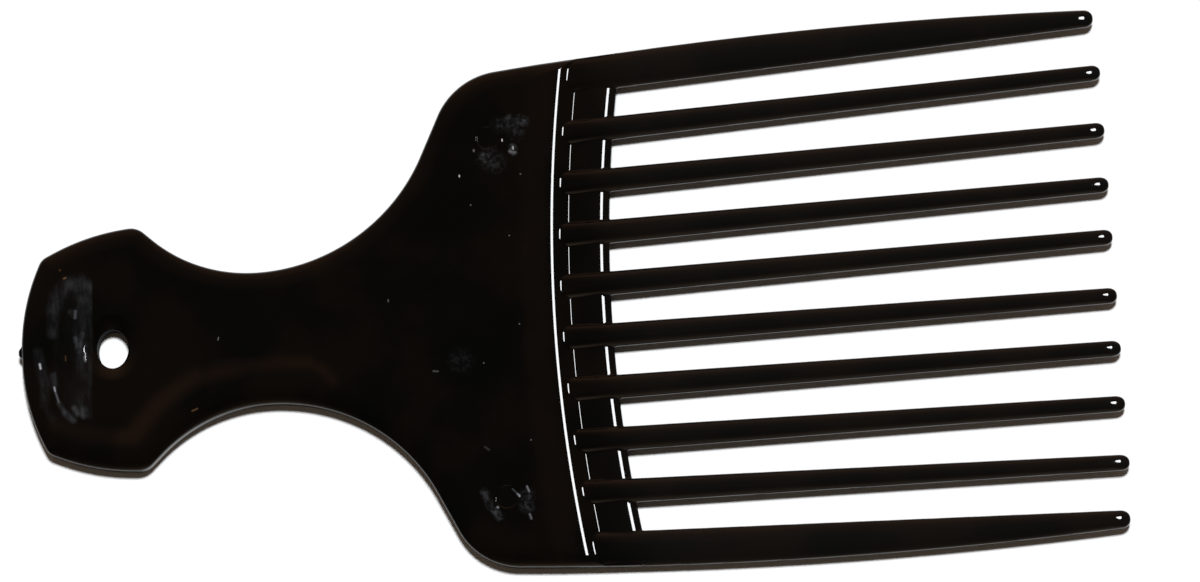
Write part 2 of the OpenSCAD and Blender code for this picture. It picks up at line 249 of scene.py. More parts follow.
def outline_corners():
    """Upper half of the outline: corners, each with the radius of its curve"""
    handle_side_x = mix(HANDLE_CORNER_X, HANDLE_WIDE_X, HANDLE_SIDE_SHARES[0])
    handle_side_w = mix(HANDLE_END_W, HANDLE_W, HANDLE_SIDE_SHARES[1])
    side_bow_x = mix(SHOULDER_X, OUTER_TIP_X, SIDE_BOW_SHARE)
    side_bow_y = mix(SHOULDER_W, TIPS_W, SIDE_BOW_SHARE) / 2 + SIDE_BOW
    return [
        (0, 0, 0),
        (0, HANDLE_END_W / 2 * END_BOW_SHARE, HANDLE_END_R),
        (HANDLE_CORNER_X, HANDLE_END_W / 2, HANDLE_CORNER_R),
        (handle_side_x, handle_side_w / 2, HANDLE_SIDE_R),
        (HANDLE_WIDE_X, HANDLE_W / 2, HANDLE_WIDE_R),
        (NECK_X, NECK_W / 2, NECK_HANDLE_R),
        (NECK_END_X, NECK_W / 2, NECK_SHOULDER_R),
        (SHOULDER_X, SHOULDER_W / 2, SHOULDER_R),
        (side_bow_x, side_bow_y, SIDE_BOW_R),
        (OUTER_TIP_X, TIPS_W / 2, 0),
    ]


def rounded(corners):
    """Arcs (centre, radius, middle direction, cosine of half the angle) and where each starts and ends"""
    points = [np.array(c[:2], float) for c in corners]
    edges = [b - a for a, b in zip(points, points[1:])]
    lengths = [np.linalg.norm(e) for e in edges]
    turns = [math.atan2(a[0] * b[1] - a[1] * b[0], a @ b) for a, b in zip(edges, edges[1:])]
    wanted = [0] + [c[2] * math.tan(abs(t) / 2) for c, t in zip(corners[1:], turns)] + [0]
    room = [length / max(a + b, length) for length, a, b in zip(lengths, wanted, wanted[1:])]
    arcs, joints = [], [points[0]]
    for i, turn in enumerate(turns, start=1):
        reach = wanted[i] * min(room[i - 1], room[i])
        before, after = edges[i - 1] / lengths[i - 1], edges[i] / lengths[i]
        radius = reach / math.tan(abs(turn) / 2)
        start, end = points[i] - before * reach, points[i] + after * reach
        normal = np.array([-before[1], before[0]]) * math.copysign(1, turn)
        centre = start + normal * radius
        middle = (points[i] - centre) / np.linalg.norm(points[i] - centre)
        arcs.append((centre, radius, middle, math.cos(turn / 2)))
        joints += [start, end]
    return arcs, joints + [points[-1]]


ARCS, JOINTS = rounded(outline_corners())


def arc_points(arc, start, end, steps=40):
    centre, radius = arc[0], arc[1]
    first = math.atan2(*(start - centre)[::-1])
    swing = math.atan2(*(end - centre)[::-1]) - first
    swing = (swing + math.pi) % (2 * math.pi) - math.pi
    angles = first + swing * np.linspace(0, 1, steps + 1)
    return centre + radius * np.stack([np.cos(angles), np.sin(angles)], 1)


OUTLINE = np.concatenate(
    [arc_points(arc, JOINTS[2 * i + 1], JOINTS[2 * i + 2]) for i, arc in enumerate(ARCS)] + [JOINTS[-1][None]]
)


def half_width(x):
    """Half the pick's width at x"""
    return np.interp(x, OUTLINE[:, 0], OUTLINE[:, 1])


def outline_depth(x, y):
    """How far inside the outline a point lies, below zero outside"""
    near = np.full(np.broadcast(x, y).shape, FAR_AWAY)
    for centre, radius, middle, reach in ARCS:
        dx, dy = x - centre[0], y - centre[1]
        away = np.hypot(dx, dy)
        facing = dx * middle[0] + dy * middle[1] >= away * reach
        near = np.where(facing, np.minimum(near, np.abs(away - radius)), near)
    for start, end in zip(JOINTS[::2], JOINTS[1::2]):
        line = end - start
        dx, dy = x - start[0], y - start[1]
        along_line = np.clip((dx * line[0] + dy * line[1]) / max(line @ line, TINY), 0, 1)
        near = np.minimum(near, np.hypot(dx - along_line * line[0], dy - along_line * line[1]))
    return np.where((x > 0) & (y < half_width(x)), near, -near)


# The moulding as a field that is below zero inside it and about a distance near its surface


def smooth_min(a, b, width):
    blend = np.clip(1 - np.abs(a - b) / width, 0, 1)
    return np.minimum(a, b) - blend * blend * width / 4


def smooth_max(a, b, width):
    return -smooth_min(-a, -b, width)


def ahead_of(x, y, front_x, radius):
    """Distance in front of an edge that is bowed across the pick"""
    return radius - np.hypot(x - front_x - radius, y)


EDGE_Z = HALF_T - BEVEL_DROP
BEVEL_ANGLE = math.atan(BEVEL_DROP / BEVEL_L)
RAMP_ANGLE = math.acos(
    (RAMP_TOP_R * math.cos(BEVEL_ANGLE) + RAMP_FOOT_R - (EDGE_Z - WEB_T / 2)) / (RAMP_TOP_R + RAMP_FOOT_R)
)
RAMP_TURN_L = RAMP_TOP_R * (math.sin(RAMP_ANGLE) - math.sin(BEVEL_ANGLE))
RAMP_L = RAMP_TURN_L + RAMP_FOOT_R * math.sin(RAMP_ANGLE)


def roof(ahead):
    """Height of the upper face over the parting plane, by the distance in front of the plate's edge"""
    bevel = HALF_T - BEVEL_DROP * np.clip(1 + ahead / BEVEL_L, 0, 1)
    turned = np.clip(ahead, 0, RAMP_TURN_L) + RAMP_TOP_R * math.sin(BEVEL_ANGLE)
    over = EDGE_Z - RAMP_TOP_R * math.cos(BEVEL_ANGLE) + np.sqrt(RAMP_TOP_R**2 - turned**2)
    left = np.clip(RAMP_L - ahead, 0, RAMP_FOOT_R * math.sin(RAMP_ANGLE))
    foot = WEB_T / 2 + RAMP_FOOT_R - np.sqrt(RAMP_FOOT_R**2 - left**2)
    return np.where(ahead < 0, bevel, np.where(ahead < RAMP_TURN_L, over, foot))


def rise(z, top, wall_h, rounding):
    """0 beside a straight edge of that height, from there growing to 1 at the top"""
    over = np.hypot(np.clip(np.abs(z) - wall_h / 2, 0, None), rounding) - rounding
    return over / (np.hypot(top - wall_h / 2, rounding) - rounding)


def body_field(x, y, z):
    """Handle, neck, plate and web, whose sides are rounded down to the parting plane"""
    depth = outline_depth(x, y)
    side = np.clip(SIDE_ROUND_W - depth, 0, None) / SIDE_ROUND_W
    web_share = np.clip((x - PLATE_FRONT_X) / (WEB_FRONT_X - PLATE_FRONT_X), 0, 1)
    wall_h = mix(SIDE_WALL_H, TINE_WALL_H, web_share)
    body = (side**2 + rise(z, HALF_T, wall_h, SIDE_EDGE_ROUND) - 1) * HALF_T
    top = roof(ahead_of(x, y, PLATE_FRONT_X, PLATE_FRONT_R))
    nose = np.clip(1 + ahead_of(x, y, WEB_FRONT_X, WEB_FRONT_R) / WEB_NOSE_L, 0, None)
    slab = (np.sqrt(nose**2 + (z / top) ** 2) - 1) * top
    return smooth_max(body, slab, TOP_EDGE_W)


def along(x):
    """Share of the way from the web's front to the tips"""
    return (x - WEB_FRONT_X) / (TIP_X - WEB_FRONT_X)


FAN_ROOT_W = 2 * (half_width(WEB_FRONT_X) - OUTER_TINE_ROOT_W) + TINE_ROOT_W
FAN_TIP_W = TIPS_W - 2 * OUTER_TINE_TIP_W + TINE_TIP_W


def tine_middle(number, x):
    """Place across, at x, of the tine of that number, counted from the middle outwards"""
    return mix(FAN_ROOT_W * ROOT_PLACE_SHARES[number], FAN_TIP_W * TIP_PLACE_SHARES[number], along(x)) / 2


def tine_field(number, x, y, z):
    """One tine: a tapering oval with a round tip. The outer tine's outside follows the outline"""
    half_w = mix(TINE_ROOT_W, TINE_TIP_W, along(x)) / 2
    middle = tine_middle(number, x)
    tip = TIP_X
    if number == OUTER_TINE:
        outside, inside = half_width(x), middle - half_w
        middle, half_w, tip = (outside + inside) / 2, (outside - inside) / 2, OUTER_TIP_X
    thinning = np.clip(1 + (x - tip) / TIP_THIN_L, 0, 1)
    half_t = mix(TINE_ROOT_T, TINE_TIP_T, along(x)) / 2 * (1 - TIP_THIN_SHARE * thinning**2)
    power = mix(TINE_ROOT_SQUARENESS, TINE_SQUARENESS, np.clip((x - PLATE_FRONT_X) / TINE_ROOT_L, 0, 1))
    across = np.abs(y - middle) / half_w
    end = np.clip(1 + (x - tip) / TIP_ROUND_L, 0, None)
    flatness = mix(1, TIP_FLATNESS, np.clip(1 + (x - tip) / TIP_FLAT_L, 0, 1))
    plan = np.clip(across**power + end**2, TINY, None) ** flatness
    return (plan + rise(z, half_t, TINE_WALL_H, TINE_EDGE_ROUND) - 1) * half_t


def hole_field(x, y, z):
    """What the hang hole leaves: a straight wall with a wide lip above it and a narrow one below"""
    up = np.clip(z - HOLE_WALL_TOP, 0, None) / (HALF_T - HOLE_WALL_TOP)
    down = np.clip(HOLE_WALL_FOOT - z, 0, None) / (HALF_T + HOLE_WALL_FOOT)
    width = np.where(z > 0, HOLE_LIP_W, HOLE_UNDER_LIP_W)
    turned = np.hypot((x - HOLE_X) / HOLE_HALF_L, (y - HOLE_Y) / HOLE_HALF_W)
    away = (turned - 1) * math.sqrt(HOLE_HALF_L * HOLE_HALF_W)
    lip = np.clip(1 - away / width, 0, None)
    return (lip**HOLE_LIP_POWER + up + down - 1) * width / HOLE_LIP_POWER


def gate_field(x, y, z):
    """Stub where the moulding was cut from its runner"""
    spread = np.clip((x + GATE_PROUD) / GATE_PROUD, 0, GATE_SPREAD)
    half_w = GATE_W / 2 * mix(GATE_END_SHARE, 1, spread)
    stub = smooth_max(np.abs(y - GATE_Y) - half_w, np.abs(z) - GATE_T / 2, GATE_EDGE_W)
    return smooth_max(stub, np.maximum(-GATE_PROUD - x, x - GATE_ROOT_L), GATE_END_EDGE_W)


def pin_mark_step(x, y):
    """How far the upper face is sunk at the ejector pin marks"""
    away = np.hypot(x - PIN_X, y - (half_width(PIN_X) - PIN_INSET))
    edge = np.clip((PIN_R - away) / PIN_EDGE_W + 0.5, 0, 1)
    return PIN_DEPTH * eased(edge)


def field(x, signed_y, z):
    y = np.abs(signed_y)
    solid = body_field(x, y, z)
    tines = tine_field(0, x, y, z)
    for number in range(1, OUTER_TINE + 1):
        tines = np.minimum(tines, tine_field(number, x, y, z))
    tines = np.where(x > PLATE_FRONT_X - TINE_HIDDEN_L, tines, FAR_AWAY)
    fillet = TINE_FILLET * np.clip((half_width(x) - y) / FILLET_FADE_W, FILLET_SIDE_SHARE, 1)
    solid = smooth_min(solid, tines, fillet)
    solid = smooth_min(solid, gate_field(x, signed_y, z), GATE_FILLET)
    solid = np.maximum(solid, hole_field(x, signed_y, z))
    return np.maximum(solid, z - HALF_T + pin_mark_step(x, y))


def gradient(points, step=0.01):
    x, y, z = points.T
    slopes = [
        field(x + step, y, z) - field(x - step, y, z),
        field(x, y + step, z) - field(x, y - step, z),
        field(x, y, z + step) - field(x, y, z - step),
    ]
    return np.stack(slopes, 1) / (2 * step)


def settled(points, rounds=4, least_slope=0.05, greatest_move=0.2):
    """The points moved onto the surface"""
    for _ in range(rounds):
        slope = gradient(points)
        steepness = np.maximum((slope**2).sum(1), least_slope)[:, None]
        move = field(*points.T)[:, None] * slope / steepness
        points = points - np.clip(move, -greatest_move, greatest_move)
    return points


# Mesh of the surface, from a grid whose rows follow the bowed edges


def spaced(stretches):
    """Places from (start, end, greatest step) stretches that follow each other"""
    rows = [np.linspace(a, b, math.ceil((b - a) / step) + 1)[:-1] for a, b, step in stretches]
    return np.concatenate(rows + [[stretches[-1][1]]])


def grid_axes():
    u = spaced(GRID_STRETCHES)
    v = np.linspace(-GRID_REACH, GRID_REACH, GRID_ROWS)
    w = np.linspace(-HALF_T - GRID_MARGIN, HALF_T + GRID_MARGIN, GRID_LAYERS)
    return u, v, w


def bowed(u, v):
    """X of a grid point: near the plate's front the rows take its bow"""
    follow = np.clip(np.minimum((u - BOW_START_X) / BOW_START_L, (BOW_END_X - u) / BOW_END_L), 0, 1)
    return u + eased(follow) * (PLATE_FRONT_R - np.sqrt(PLATE_FRONT_R**2 - v**2))


def surface_net(values, axes):
    """Points, as places along the axes, and quads of the surface where values cross zero"""
    inside = values < 0
    cells = tuple(n - 1 for n in values.shape)
    total = np.zeros(cells + (3,), np.float32)
    count = np.zeros(cells, np.int16)
    crossings = []
    for axis in range(3):
        lower = [slice(None)] * 3
        upper = [slice(None)] * 3
        lower[axis], upper[axis] = slice(None, -1), slice(1, None)
        found = np.argwhere(inside[tuple(lower)] != inside[tuple(upper)])
        after = found.copy()
        after[:, axis] += 1
        a, b = values[tuple(found.T)], values[tuple(after.T)]
        spots = np.stack([axes[i][found[:, i]] for i in range(3)], 1)
        spots[:, axis] += (axes[axis][after[:, axis]] - spots[:, axis]) * a / (a - b)
        side, other = [i for i in range(3) if i != axis]
        for shift_side in (0, -1):
            for shift_other in (0, -1):
                cell = found.copy()
                cell[:, side] += shift_side
                cell[:, other] += shift_other
                np.add.at(total, tuple(cell.T), spots)
                np.add.at(count, tuple(cell.T), 1)
        crossings.append((axis, side, other, found, a < 0))
    number = np.full(cells, -1, np.int64)
    number[count > 0] = np.arange((count > 0).sum())
    points = total[count > 0] / count[count > 0][:, None]
    quads = []
    for axis, side, other, found, outward in crossings:
        ring = []
        for shift_side, shift_other in ((0, 0), (-1, 0), (-1, -1), (0, -1)):
            cell = found.copy()
            cell[:, side] += shift_side
            cell[:, other] += shift_other
            ring.append(number[tuple(cell.T)])
        ring = np.stack(ring, 1)
        flip = outward != (axis == 1)
        quads.append(np.where(flip[:, None], ring, ring[:, ::-1]))
    return points.astype(float), np.concatenate(quads)


def mesh_from(name, points, quads):
    mesh = bpy.data.meshes.new(name)
    mesh.vertices.add(len(points))
    mesh.vertices.foreach_set("co", to_frame(points).astype(np.float32).ravel())
    mesh.loops.add(quads.size)
    mesh.loops.foreach_set("vertex_index", quads.astype(np.int32).ravel())
    mesh.polygons.add(len(quads))
    mesh.polygons.foreach_set("loop_start", np.arange(0, quads.size, 4, dtype=np.int32))
    mesh.update(calc_edges=True)
    mesh.validate()
    return mesh


def mesh_points(mesh):
    co = np.empty(len(mesh.vertices) * 3, np.float32)
    mesh.vertices.foreach_get("co", co)
    return co.reshape(-1, 3).astype(float) / MM - [HANDLE_END, 0, HALF_T]


def refine(mesh, near, reaches):
    """Halves the faces within each reach, where the grid is too coarse for the form there"""
    form = bmesh.new()
    form.from_mesh(mesh)
    for reach in reaches:
        edges = set()
        for face in form.faces:
            c = face.calc_center_median() / MM
            if near(c.x - HANDLE_END, c.y, c.z - HALF_T) < reach:
                edges.update(face.edges)
        bmesh.ops.subdivide_edges(form, edges=list(edges), cuts=1, use_grid_fill=True)
    form.to_mesh(mesh)
    form.free()


def from_pin_mark(x, y, z):
    """Distance from the middle of the nearest pin mark, on the upper face"""
    away = math.hypot(x - PIN_X, abs(y) - (half_width(PIN_X) - PIN_INSET))
    return away if z > HALF_T * UPPER_FACE_SHARE else math.inf


def from_hole(x, y, z):
    """Distance from the hole's wall, outwards"""
    return math.hypot((x - HOLE_X) / HOLE_HALF_L, (y - HOLE_Y) / HOLE_HALF_W) * HOLE_HALF_L - HOLE_HALF_L


def build_moulding():
    u, v, w = grid_axes()
    x = bowed(u[:, None, None], v[None, :, None])
    values = field(x, v[None, :, None], w[None, None, :])
    points, quads = surface_net(values, (u, v, w))
    points[:, 0] = bowed(points[:, 0], points[:, 1])
    mesh = mesh_from("pick_moulding", settled(points), quads)
    refine(mesh, from_pin_mark, PIN_REACHES)
    refine(mesh, from_hole, HOLE_REACHES)
    points = settled(mesh_points(mesh), rounds=3)
    mesh.vertices.foreach_set("co", to_frame(points).astype(np.float32).ravel())
    mesh.polygons.foreach_set("use_smooth", [True] * len(mesh.polygons))
    slope = gradient(points)
    mesh.normals_split_custom_set_from_vertices(slope / np.linalg.norm(slope, axis=1)[:, None])
    piece = bpy.data.objects.new("pick_moulding", mesh)
    bpy.context.scene.collection.objects.link(piece)
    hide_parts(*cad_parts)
    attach(piece, "root")
    return piece


# Materials

# Black plastic: the two tones it clouds between, the painted brown reflection added on the bevel and the
# painted sheen added on the tines
BLACK = (0.0002, 0.0004, 0.0005, 1)
BROWN_BLACK = (0.0021, 0.0012, 0.0008, 1)
CLOUDS_PER_MM = 0.07
CLOUD_RANGE = (0.36, 0.66)
BEVEL_REFLECTION_TINT = (1.0, 0.5, 0.3)
BEVEL_REFLECTION_LIGHTNESS = 0.0012
BEVEL_REFLECTION_STARTS = (-BEVEL_L - 0.8, -BEVEL_L + 1.2)
BEVEL_REFLECTION_ENDS = (-1.2, 0.2)
TINE_SHEEN_TINT = (1.0, 0.95, 0.9)
TINE_SHEEN_LIGHTNESS = 0.0024
TINE_SHEEN_X = (84.0, 98.0)

# Polish, and the duller wall of the hole
POLISH_PATCHES_PER_MM = 0.35
POLISH_RANGE = (0.4, 0.75)
POLISH = (0.025, 0.06)
WALL_ROUGHNESS = 0.5
GLOSS, WALL_GLOSS = 0.5, 0.04
WALL_ENDS = (1.02, 1.1)
WALL_TOPS = (HOLE_WALL_TOP - 0.05, HOLE_WALL_TOP + 0.2)
PLASTIC_IOR = 1.5

# The dull flow patch in front of the gate, drawn as painted sheen and glints: a half oval with a straight,
# slightly leaning edge on the side of the hole, streaked across the pick
PATCH_X = 11.0
PATCH_L = 6.1
PATCH_HALF_W = 10.7
PATCH_LEAN = 0.039
PATCH_SQUARENESS = 2.4
PATCH_RIM = (0.8, 1.05)
PATCH_EDGE_X = (10.75, 11.2)
PATCH_BRIGHTENS_X = (7.4, 9.6)
PATCH_SHEEN = (0.0008, 0.0055)
STREAKS_PER_MM = 0.9
STREAK_STRETCH = (1.0, 0.38, 1.0)
STREAK_RANGE = (0.34, 0.72)
STREAK_STRENGTH = (0.35, 1.7)

# Small marks on the upper face, where the photograph shows them, to 0.1 mm, most of them painted sheen,
# glints and
# reflection. Each is a stroke: the points it runs through (distance from the handle's end, place across),
# half its width and its lightness
# Cool tint of the painted sheen and glints
SHEEN_TINT = (0.86, 0.9, 1.0)
FLOW_SOFTNESS = 2.3
FLOW_SHEEN_STRENGTH = 0.42
FLOW_SHEEN_STROKES = [
    ([(2.6, 0.5), (2.9, -1.4)], 0.5, 0.022),
    ([(3.1, -2.2), (3.5, -4.6)], 0.55, 0.022),
    ([(3.5, -4.6), (3.4, -7.7)], 0.5, 0.016),
    ([(3.4, -7.7), (4.4, -10.1)], 0.45, 0.01),
    ([(4.9, -3.3), (5.0, -5.2)], 0.35, 0.03),
    ([(5.6, -7.6), (6.4, -9.3)], 0.27, 0.05),
    ([(6.4, -9.3), (7.7, -10.6)], 0.36, 0.04),
    ([(7.9, -8.7), (8.3, -9.7)], 0.3, 0.05),
    ([(9.5, -9.0), (9.4, -9.9)], 0.4, 0.045),
    ([(8.0, 6.4), (8.3, 5.8)], 0.3, 0.03),
    ([(8.5, 2.2), (8.8, 0.8)], 0.25, 0.05),
    ([(9.6, 2.8), (9.1, 0.9)], 0.28, 0.05),
    ([(9.2, 1.1), (9.0, 0)], 0.25, 0.02),
    ([(6.0, 8.9), (5.3, 6.6)], 0.7, 0.03),
    ([(5.3, 6.6), (5.0, 3.2)], 0.55, 0.02),
    ([(6.0, 8.9), (7.4, 10.5), (9.4, 10.9)], 0.8, 0.026),
    ([(9.4, 10.9), (11.2, 9.9)], 0.7, 0.022),
    ([(9.9, 8.1), (10.6, 5.5)], 0.7, 0.016),
    ([(10.1, 4.6), (9.6, 2.8)], 0.4, 0.012),
]
SMEAR_SOFTNESS = 3.0
SPECKLES_PER_MM = 1.6
SPECKLE_RANGE = (0.4, 0.66)
SPECKLE_STRENGTH = (0.1, 1.3)
# Haze of smears and dust near the pin marks, with painted glints beside the north pin mark
SMEARS_AND_GLINTS = [
    ([(69.5, -27.0), (70.3, -29.1)], 0.3, 0.02),
    ([(70.3, -29.1), (71.6, -31.0)], 0.3, 0.028),
    ([(75.9, -28.2), (75.9, -29.6)], 0.55, 0.018),
    ([(76.6, 26.1), (76.7, 25.5)], 0.3, 0.06),
    ([(72.2, 25.1), (72.4, 24.8)], 0.35, 0.04),
    ([(76.2, 30.7), (76.4, 29.9)], 0.4, 0.02),
    ([(78.0, 30.4), (78.5, 30.1)], 0.4, 0.03),
    ([(76.9, 29.2), (77.3, 28.5)], 0.6, 0.012),
    ([(74.6, 30.2), (74.8, 29.7)], 0.5, 0.012),
    ([(72.7, 24.9), (73.8, 24.1)], 0.8, 0.012),
    ([(66.9, -6.5), (67.2, -6.5)], 0.9, 0.006),
]
# Painted glints of scratches and ridges in the flow patch and round the south pin mark
SCRATCH_GLINTS = [
    ([(2.9, -1.4), (3.0, -2.1)], 0.2, 0.4),
    ([(5.0, -5.2), (5.1, -5.8)], 0.17, 0.25),
    ([(5.1, -5.8), (5.6, -7.6)], 0.2, 0.07),
    ([(8.7, 6.4), (8.6, 5.4)], 0.3, 0.05),
    ([(9.9, 0.1), (9.8, -0.9)], 0.2, 0.04),
    ([(9.8, -0.9), (9.9, -1.5)], 0.22, 0.1),
    ([(10.1, -0.4), (11.1, -0.5)], 0.12, 0.09),
    ([(73.8, -26.9), (74.8, -28.0)], 0.16, 0.09),
    ([(74.5, -27.7), (74.8, -28.1)], 0.17, 0.35),
    ([(71.4, -29.5), (71.5, -29.6)], 0.17, 0.2),
    ([(76.0, -26.7), (76.3, -27.5)], 0.17, 0.14),
    ([(76.2, -31.0), (76.4, -31.7)], 0.2, 0.09),
]
WARM_TINT = (1.0, 0.5, 0.22)
WARM_GLINTS = [
    ([(6.5, 13.1), (6.6, 13.0)], 0.15, 0.05),
    ([(7.1, 11.7), (7.4, 11.8)], 0.15, 0.11),
    ([(25.9, -10.7), (26.7, -10.4)], 0.16, 0.13),
    ([(6.9, -0.5), (6.9, -1.2)], 0.11, 0.05),
    ([(82.1, -5.5), (82.0, -7.2)], 0.14, 0.1),
    ([(82.4, -13.6), (82.4, -14.1)], 0.14, 0.1),
    ([(82.9, -20.8), (83.0, -21.7)], 0.14, 0.1),
    ([(83.6, -29.5), (83.7, -30.4)], 0.14, 0.1),
    ([(82.1, 7.7), (82.1, 7.3)], 0.14, 0.14),
]
SPECK_R = 0.13
SPECK_LIGHTNESS = 0.12
SPECKS = [(69.8, 17.7), (77.6, 21.9), (75.4, 12.4), (76.2, -1.5), (70.5, -7.1), (77.0, -19.6)]
DUST_AND_GLINT_TINT = (1.0, 0.97, 0.92)
# Dust specks, and painted glints on and beside the rim of the north pin mark
DUST_AND_GLINTS = [([speck], SPECK_R, SPECK_LIGHTNESS) for speck in SPECKS] + [
    ([(30.4, 0.4), (30.3, 0)], 0.1, 0.12),
    ([(56.5, 4.0), (56.5, 3.7)], 0.1, 0.1),
    ([(68.3, 22.5), (68.3, 22.3)], 0.12, 0.5),
    ([(62.8, -7.7), (63.5, -7.8)], 0.16, 0.05),
    ([(71.4, 27.7), (71.4, 27.6)], 0.1, 0.6),
    ([(75.1, 27.6), (75.1, 27.3)], 0.1, 0.6),
    ([(76.7, 26.3), (76.7, 25.9)], 0.12, 0.3),
    ([(76.1, 25.6), (77.0, 25.4)], 0.2, 0.07),
    ([(70.7, 26.3), (70.7, 26.1)], 0.16, 0.1),
    ([(70.0, -20.1), (70.6, -20.6)], 0.2, 0.02),
]
# Painted brown reflection: soft bands along one side of the handle and neck, inside the rounded edge
REFLECTION_BAND_TINT = (1.0, 0.46, 0.25)
REFLECTION_BAND_SOFTNESS = 2.0
BROWN_REFLECTION_BANDS = [
    ([(5.0, -11.1), (9.3, -12.7), (14.8, -13.9)], 1.1, 0.0033),
    ([(14.8, -13.9), (16.7, -13.7)], 1.2, 0.005),
    ([(16.7, -13.7), (20.6, -9.4), (24.1, -7.0), (26.7, -5.5)], 1.3, 0.0054),
    ([(26.7, -5.5), (33.2, -4.6)], 1.2, 0.0042),
    ([(33.2, -4.6), (39.6, -4.3), (43.9, -4.7)], 1.0, 0.0035),
    ([(43.9, -4.7), (45.9, -5.9), (47.5, -7.8)], 0.8, 0.0032),
]


class Graph:
    """Shader nodes of one material, made by short calls that take and give sockets or numbers"""

    def __init__(self, name):
        self.material = bpy.data.materials.new(name)
        self.material.use_nodes = True
        self.nodes = self.material.node_tree.nodes
        self.links = self.material.node_tree.links
        self.shader = self.nodes["Principled BSDF"]

    def put(self, socket, value):
        if isinstance(value, bpy.types.NodeSocket):
            self.links.new(value, socket)
        else:
            socket.default_value = value

    def math(self, operation, a, b=0.0):
        node = self.nodes.new("ShaderNodeMath")
        node.operation = operation
        self.put(node.inputs[0], a)
        self.put(node.inputs[1], b)
        return node.outputs[0]

    def times(self, a, b):
        return self.math("MULTIPLY", a, b)

    def vector(self, operation, a, b, output=0):
        node = self.nodes.new("ShaderNodeVectorMath")
        node.operation = operation
        self.put(node.inputs[0], a)
        self.put(node.inputs["Scale"] if operation == "SCALE" else node.inputs[1], b)
        return node.outputs[output]

    def length(self, offset, scales):
        """Length of an offset whose X, Y and Z are first scaled"""
        return self.vector("LENGTH", self.vector("MULTIPLY", offset, scales), (0, 0, 0), output=1)

    def fade(self, value, start, end, at_start, at_end):
        node = self.nodes.new("ShaderNodeMapRange")
        node.interpolation_type = "SMOOTHSTEP"
        for socket, number in zip(node.inputs, (value, start, end, at_start, at_end)):
            self.put(socket, number)
        return node.outputs[0]

    def noise(self, place, scale, detail=2.0, roughness=0.5):
        node = self.nodes.new("ShaderNodeTexNoise")
        self.put(node.inputs["Vector"], place)
        node.inputs["Scale"].default_value = scale
        node.inputs["Detail"].default_value = detail
        node.inputs["Roughness"].default_value = roughness
        return node.outputs[0]

    def mix(self, share, a, b):
        node = self.nodes.new("ShaderNodeMix")
        node.data_type = "RGBA"
        self.put(node.inputs["Factor"], share)
        self.put(node.inputs["A"], a)
        self.put(node.inputs["B"], b)
        return node.outputs["Result"]

    def tinted(self, amount, tint):
        """A colour times a number"""
        return self.vector("SCALE", tint, amount)

    def added(self, *colours):
        total = colours[0]
        for colour in colours[1:]:
            total = self.vector("ADD", total, colour)
        return total

    def place_mm(self):
        """Place on the moulding: millimetres from the handle's end, across, and above the parting plane"""
        coords = self.nodes.new("ShaderNodeTexCoord")
        scaled = self.vector("SCALE", coords.outputs["Object"], 1 / MM)
        return self.vector("SUBTRACT", scaled, (HANDLE_END, 0, HALF_T))

    def split(self, place):
        node = self.nodes.new("ShaderNodeSeparateXYZ")
        self.put(node.inputs[0], place)
        return node.outputs["X"], node.outputs["Y"], node.outputs["Z"]

    def line(self, place, start, end, half_w, lightness, softness):
        """Lightness of one straight mark, which is a dot where start and end are the same"""
        line = Vector((end[0] - start[0], end[1] - start[1], 0))
        offset = self.vector("SUBTRACT", place, (start[0], start[1], HALF_T))
        way = self.vector("DOT_PRODUCT", offset, line.normalized(), output=1)
        way = self.math("MINIMUM", self.math("MAXIMUM", way, 0.0), line.length)
        nearest = self.vector("SCALE", tuple(line.normalized()), way)
        away = self.vector("DISTANCE", offset, nearest, output=1)
        return self.fade(away, 0.0, half_w * softness, lightness, 0.0)

    def marks(self, place, strokes, softness=1.4):
        """The lightest of many small marks at a place"""
        total = None
        for points, half_w, lightness in strokes:
            for start, end in zip(points, points[1:] or points):
                mark = self.line(place, start, end, half_w, lightness, softness)
                total = mark if total is None else self.math("MAXIMUM", total, mark)
        return total


def moulded_black(graph, place, x):
    """Black that clouds into brown, with a painted brown reflection on the bevel and a painted sheen that
    makes the tines slightly paler
    """
    cloud = graph.fade(graph.noise(place, CLOUDS_PER_MM, detail=3.0), *CLOUD_RANGE, 0.0, 1.0)
    black = graph.mix(cloud, BLACK, BROWN_BLACK)
    # Painted brown reflection on the bevel, a band that starts where the flat face meets the bevel
    from_centre = graph.vector("SUBTRACT", place, (PLATE_FRONT_X + PLATE_FRONT_R, 0, 0))
    ahead = graph.math("SUBTRACT", PLATE_FRONT_R, graph.length(from_centre, (1, 1, 0)))
    bevel = graph.fade(ahead, *BEVEL_REFLECTION_STARTS, 0.0, 1.0)
    bevel = graph.times(bevel, graph.fade(ahead, *BEVEL_REFLECTION_ENDS, BEVEL_REFLECTION_LIGHTNESS, 0.0))
    # Painted sheen: the tines made slightly paler from their roots onwards
    tines = graph.fade(x, *TINE_SHEEN_X, 0.0, TINE_SHEEN_LIGHTNESS)
    return graph.added(black, graph.tinted(bevel, BEVEL_REFLECTION_TINT), graph.tinted(tines, TINE_SHEEN_TINT))


